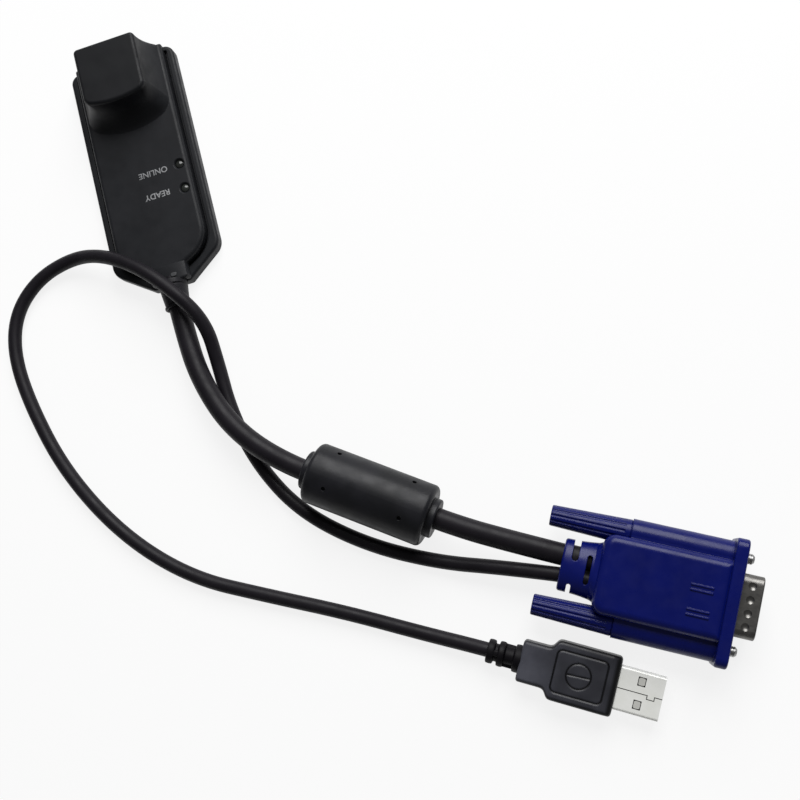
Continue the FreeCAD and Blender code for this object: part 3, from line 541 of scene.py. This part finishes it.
def gland_sleeve():
    """Tapered strain relief on the pod: the radius falls from 4.5 to 3.7 with a hollow curve.

    0.65 of the fall is straight and the rest goes with the square root of the way along.  A groove
    is let in where it leaves the pod and another before its rounded lip, and the mouth turns inwards
    round the cord.
    """
    s = np.concatenate([np.linspace(GLAND_BEGIN, GLAND_LIP, 150),
                        np.linspace(GLAND_LIP + 0.02, GLAND_END, 40)])
    fall = climb(s, GLAND_NOTCH, GLAND_LIP - GLAND_NOTCH)
    r = GLAND_R - GLAND_TAPER * (0.65 * fall + 0.35 * fall ** 0.5)
    r -= NOTCH_DEPTH * swell(s, GLAND_NOTCH, GLAND_NOTCH + GLAND_GROOVE, GLAND_SOFT)
    r -= LIP_GROOVE_DEPTH * swell(s, GLAND_LIP - GLAND_GROOVE, GLAND_LIP, GLAND_SOFT)
    r += LIP_RISE * swell(s, GLAND_LIP, GLAND_END + 1, GLAND_SOFT)
    r -= round_over(climb(s, GLAND_END - LIP_RISE, LIP_RISE), LIP_RISE)
    mouth = THICK / 2 + MOUTH_ROOM
    inside = np.linspace(GLAND_END - 0.1, GLAND_END - 0.8, 6)
    s = np.concatenate([s, np.full(4, GLAND_END), inside])
    r = np.concatenate([r, np.linspace(r[-1] - 0.1, mouth, 4), np.full(6, mouth)])
    return skin("gland_sleeve", turned(s, r, 128), GLAND, SOFT_BLACK)


# ---------------------------------------------------------------- USB plug
def ribbed_relief():
    """Flexible neck of the USB plug: three rings on a slim core, joined by bars set crosswise.

    The radius is the largest of core, rings and bars; each ring is a soft step along the neck with
    a crown that falls with the square of the way from its middle, each pair of bars a soft step
    along the neck and across it.
    """
    around = 144
    s = np.linspace(RELIEF_BEGIN, RELIEF_END, 300)[:, None]
    angle = np.linspace(0, 2 * np.pi, around, endpoint=False)[None]
    r = RELIEF_CORE + 0 * s * angle
    for low, high, radius in RELIEF_RINGS:
        crown = RING_CROWN * ((s - (low + high) / 2) / (high - low) * 2) ** 2
        rise = radius - crown - RELIEF_CORE
        r = np.maximum(r, RELIEF_CORE + rise * swell(s, low, high, RING_SOFT))
    for (low, high, rise), beside in zip(RELIEF_BARS, (np.cos(angle), np.sin(angle))):
        width = swell(np.abs(BAR_ARM * beside), -1, BAR_HALF, BAR_SOFT)
        r = np.maximum(r, RELIEF_CORE + rise * swell(s, low, high, BAR_SOFT) * width)
    r = r - round_over(1 - climb(s, RELIEF_BEGIN, 0.3), 0.3)
    rings = np.stack([s + 0 * r, r * np.cos(angle), r * np.sin(angle)], axis=-1)
    mouth = THIN / 2 + 0.1
    lead = turned([0.4, 0.0, -0.35, RELIEF_BEGIN], [mouth, mouth, mouth, mouth + 0.15], around)
    rings = np.concatenate([lead, rings])
    return skin("ribbed_relief", rings, USB_PLUG, RELIEF_BLACK)


def usb_grip():
    """Grip of the USB plug: a rounded box whose half width steps from waist to body, softly.

    Both ends are rounded by a quarter circle and the faces fall away before the metal shell.  On the
    upper and the lower face a groove follows a rounded panel, another a ring, and a third a bar
    through the ring; each is a soft band about the line's distance.  The painted shade lies in the
    grooves, along the rims, before the shell and, growing, along the plug.
    """
    start, waist, body, end = GRIP_S
    ends = GRIP_END_R * np.array([0, 0.025, 0.075, 0.1625, 0.275, 0.425, 0.6, 0.8, 1])
    inner = GRIP_END_R + 0.15
    s = np.concatenate([start + ends, np.linspace(start + inner, end - inner, 214),
                        (end - ends)[::-1]])
    blend = 0.5 + 0.5 * np.tanh((s - (waist + body) / 2) / 0.8)
    wide = GRIP_NARROW + (GRIP_WIDE - GRIP_NARROW) * blend
    nose_start, nose_length, nose_fall = GRIP_NOSE
    high = GRIP_H - nose_fall * climb(s, nose_start, nose_length) ** 1.3
    near = np.minimum(np.minimum(s - start, end - s), GRIP_END_R)
    inset = round_over(1 - near / GRIP_END_R, GRIP_END_R)
    wide, high = wide - inset, high - inset
    y, z = rounded_box(wide, high, GRIP_EDGE, 288)
    x = np.broadcast_to(s[:, None], y.shape)

    middle, half = (PANEL_S[0] + PANEL_S[1]) / 2, (PANEL_S[1] - PANEL_S[0]) / 2
    over_x = np.abs(x - middle) - (half - PANEL_CORNER)
    over_y = np.abs(y) - (PANEL_HALF - PANEL_CORNER)
    panel = (np.hypot(np.maximum(over_x, 0), np.maximum(over_y, 0))
             + np.minimum(np.maximum(over_x, over_y), 0) - PANEL_CORNER)
    ring = np.hypot(x - RING_S, y) - RING_R
    lean = math.radians(BAR_LEAN)
    along = (x - RING_S) * math.cos(lean) + y * math.sin(lean)
    beside = (x - RING_S) * math.sin(lean) - y * math.cos(lean)
    bar = swell(beside, -RING_LINE, RING_LINE, LINE_SOFT) * swell(along, -RING_R, RING_R, 0.1)
    cut = np.maximum(swell(panel, -PANEL_LINE, PANEL_LINE, LINE_SOFT),
                     swell(ring, -RING_LINE, RING_LINE, LINE_SOFT))
    cut = np.maximum(cut, bar)
    cut = cut * climb(np.abs(z), high[:, None] - LINE_DEPTH, LINE_DEPTH)
    rings = np.stack([x, y, z - np.sign(z) * LINE_DEPTH * cut], axis=-1)

    # painted shade: along the rims and before the shell, in the grooves, and growing along the plug
    rims = np.maximum(climb(np.abs(y), wide[:, None] - 1.3, 1.2) ** 1.3, climb(x, 34.0, 1.6))
    painted_shade = SHADE_LINES * cut + SHADE_RIMS * rims + SHADE_ALONG * climb(x, 12, 9)
    piece = skin("usb_grip", rings, USB_PLUG, GRIP_PLASTIC)
    return paint(piece, "painted_shade", np.append(painted_shade.ravel(), [0, 1]))


def usb_face():
    """What shows in the face of the USB shell: two sprung latches in their windows, and the seam;
    under each latch and along the seam lies a dark plate of painted shade.
    """
    for number, across in enumerate((-LATCH_ACROSS, LATCH_ACROSS)):
        plate("window_well_%d" % number, WELL_S, (across - WELL_HALF, across + WELL_HALF), WELL_Z,
              WELL_CORNER, USB_PLUG, GAP_SHADE)
        plate("latch_%d" % number, LATCH_S, (across - LATCH_HALF, across + LATCH_HALF), LATCH_Z,
              LATCH_CORNER, USB_PLUG, LATCH_STEEL)
    for number, ((x0, x1), (y0, y1)) in enumerate(SEAM_RUNS):
        plate("seam_%d" % number, (x0 - SEAM_HALF, x1 + SEAM_HALF), (y0 - SEAM_HALF, y1 + SEAM_HALF),
              SEAM_Z, SEAM_CORNER, USB_PLUG, GAP_SHADE)


# ---------------------------------------------------------------- video plug
def cord_tails():
    """Both cords carried on as round bars through the relief of the video plug, a web between."""
    for name, across, diameter in (("video_tail", TAIL_ACROSS, THICK),
                                   ("usb_tail", -TAIL_ACROSS, THIN)):
        rings = turned(np.linspace(*TAIL_S, 60), np.full(60, diameter / 2 - TAIL_ROOM), 48)
        skin(name, rings + np.array([0, across, 0]), VIDEO_PLUG, CORD_JACKET)
    plate("tail_web", TAIL_S, WEB_Y, WEB_Z, WEB_CORNER, VIDEO_PLUG, CORD_JACKET)


def hood_cone():
    """Cone that carries the strain relief into the back of the hood, inside both at its ends.

    Each section is a superellipse.  Its half width and half height grow straight on from the relief
    and then faster with the square of the way along; its exponent goes from 2, an oval, to 5.
    """
    s = np.linspace(CONE_BEGIN, CONE_END, 80)[:, None]
    way = (s - CONE_BEGIN) / (CONE_END - CONE_BEGIN)
    angle = np.linspace(0, 2 * np.pi, 160, endpoint=False)[None]
    wide, high = (first + straight * way + square * way ** 2
                  for first, straight, square in (CONE_WIDE, CONE_HIGH))
    power = 2 / (2 + 3 * way)
    y = wide * np.sign(np.cos(angle)) * np.abs(np.cos(angle)) ** power
    z = high * np.sign(np.sin(angle)) * np.abs(np.sin(angle)) ** power
    rings = np.stack([s + 0 * y, y, z], axis=-1)
    skin("hood_cone", rings, VIDEO_PLUG, BLUE_PLASTIC)


def knob_washers():
    """Thin disc in the running room between each thumbscrew knob and its tunnel.

    Full radius between its rims and drawn in by WASHER_RIM at both faces.
    """
    near, far = WASHER_S
    stations = [near, near + 0.02, far - 0.02, far]
    radii = [WASHER_R - WASHER_RIM, WASHER_R, WASHER_R, WASHER_R - WASHER_RIM]
    for name, across in (("upper_washer", SCREW_ACROSS), ("lower_washer", -SCREW_ACROSS)):
        rings = turned(stations, radii, 64) + np.array([0, across, 0])
        skin(name, rings, VIDEO_PLUG, BLUE_PLASTIC)


# ---------------------------------------------------------------- cords
def cord(name, route, diameter, node):
    """Cord as one open spline whose control points are the route."""
    curve = bpy.data.curves.new(name, "CURVE")
    curve.dimensions = "3D"
    curve.bevel_depth = diameter * MM / 2
    curve.bevel_resolution = 7
    curve.use_fill_caps = True
    spline = curve.splines.new("NURBS")
    spline.points.add(len(route) - 1)
    for point, (x, y, z) in zip(spline.points, route):
        point.co = (x * MM, y * MM, z * MM, 1)
    spline.order_u = 3
    spline.use_endpoint_u = True
    spline.resolution_u = 12
    curve.materials.append(CORD_JACKET)
    piece = add_object(name, curve)
    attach(piece, "root")
    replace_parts(piece, node)


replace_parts(pod_cover(), "upper_cover")
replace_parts(gland_sleeve(), "pod_gland")
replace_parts(ribbed_relief(), "usb_overmould")
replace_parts(usb_grip(), "usb_overmould")
cord_tails()
usb_face()
# pale tab on the bridge, its colour a painted highlight
plate("bridge_highlight_tab", TAB_X, TAB_Y, TAB_Z, TAB_CORNER, GLAND, TAB_HIGHLIGHT)
hood_cone()
knob_washers()
cord("video_cord", THICK_ROUTE, THICK, "video_cable")
cord("usb_cord", THIN_ROUTE, THIN, "usb_cable")
for legend_name, legend_words, legend_x, legend_y in LEGENDS:
    legend(legend_name, legend_words, legend_x, legend_y)


# ---------------------------------------------------------------- studio
def math_node(finish, operation, first, second):
    """Output of a Math node that takes two sockets together."""
    nodes, links = finish.node_tree.nodes, finish.node_tree.links
    node = nodes.new("ShaderNodeMath")
    node.operation = operation
    links.new(first, node.inputs[0])
    links.new(second, node.inputs[1])
    return node.outputs[0]


def floor_paper():
    """White paper that keeps the shadow; what is seen of it turns plain white away from the part."""
    finish = shader("floor_paper", (0.97, 0.97, 0.97), 0.9, specular=0.0)
    nodes, links = finish.node_tree.nodes, finish.node_tree.links
    path = nodes.new("ShaderNodeLightPath")
    seen = math_node(finish, "MAXIMUM", path.outputs["Is Camera Ray"], path.outputs["Is Glossy Ray"])
    seen = math_node(finish, "MAXIMUM", seen, path.outputs["Is Transmission Ray"])
    where = nodes.new("ShaderNodeTexCoord")
    away = nodes.new("ShaderNodeVectorMath")
    away.operation = "LENGTH"
    links.new(where.outputs["Object"], away.inputs[0])
    plain = nodes.new("ShaderNodeMapRange")
    plain.inputs["From Min"].default_value = FLOOR_NEAR
    plain.inputs["From Max"].default_value = FLOOR_FAR
    plain.inputs["To Min"].default_value = FLOOR_WHITE
    plain.inputs["To Max"].default_value = 1.0
    links.new(away.outputs["Value"], plain.inputs["Value"])
    share = math_node(finish, "MULTIPLY", seen, plain.outputs["Result"])
    glow = nodes.new("ShaderNodeEmission")
    glow.inputs["Color"].default_value = (1, 1, 1, 1)
    glow.inputs["Strength"].default_value = 1.0
    mix = nodes.new("ShaderNodeMixShader")
    links.new(share, mix.inputs["Fac"])
    links.new(nodes["Principled BSDF"].outputs["BSDF"], mix.inputs[1])
    links.new(glow.outputs["Emission"], mix.inputs[2])
    links.new(mix.outputs["Shader"], nodes["Material Output"].inputs["Surface"])
    return finish


def floor():
    """One square that the part lies on."""
    far = FLOOR_HALF
    mesh = bpy.data.meshes.new("studio_floor")
    mesh.from_pydata(
        [(-far, -far, 0), (far, -far, 0), (far, far, 0), (-far, far, 0)], [], [(0, 1, 2, 3)])
    mesh.materials.append(floor_paper())
    add_object("studio_floor", mesh)


def lamp(name, at, aim, size, watts):
    """Square soft lamp that points from one place to another."""
    data = bpy.data.lights.new(name, "AREA")
    data.shape = "SQUARE"
    data.size = size
    data.energy = watts
    piece = add_object(name, data)
    piece.location = at
    piece.rotation_euler = (Vector(aim) - Vector(at)).to_track_quat("-Z", "Y").to_euler()


def sky(strength):
    """Even white light from all round, seen by the camera as plain white."""
    world = bpy.data.worlds.new("studio_air")
    world.use_nodes = True
    bpy.context.scene.world = world
    nodes, links = world.node_tree.nodes, world.node_tree.links
    nodes["Background"].inputs["Color"].default_value = (1, 1, 1, 1)
    nodes["Background"].inputs["Strength"].default_value = strength
    white = nodes.new("ShaderNodeBackground")
    white.inputs["Color"].default_value = (1, 1, 1, 1)
    white.inputs["Strength"].default_value = 1.0
    path = nodes.new("ShaderNodeLightPath")
    mix = nodes.new("ShaderNodeMixShader")
    links.new(path.outputs["Is Camera Ray"], mix.inputs["Fac"])
    links.new(nodes["Background"].outputs["Background"], mix.inputs[1])
    links.new(white.outputs["Background"], mix.inputs[2])
    links.new(mix.outputs["Shader"], nodes["World Output"].inputs["Surface"])


def camera():
    """Camera over the plugs, leaning towards the pod."""
    data = bpy.data.cameras.new("camera")
    data.lens = CAMERA_LENS
    data.sensor_width = 36.0
    data.clip_start = 0.01
    piece = add_object("camera", data)
    right = Vector(CAMERA_RIGHT).normalized()
    back = right.cross(Vector(CAMERA_UP).normalized()).normalized()
    up = back.cross(right)
    turn = Matrix((right, up, back)).transposed().to_4x4()
    piece.matrix_world = Matrix.Translation(Vector(CAMERA_AT) * MM) @ turn
    bpy.context.scene.camera = piece


floor()
lamp("key_softbox", at=(0.38, 0.62, 0.72), aim=(0.05, -0.08, 0), size=0.8, watts=14.0)
sky(strength=0.15)
camera()
bpy.context.scene.view_settings.view_transform = "Standard"
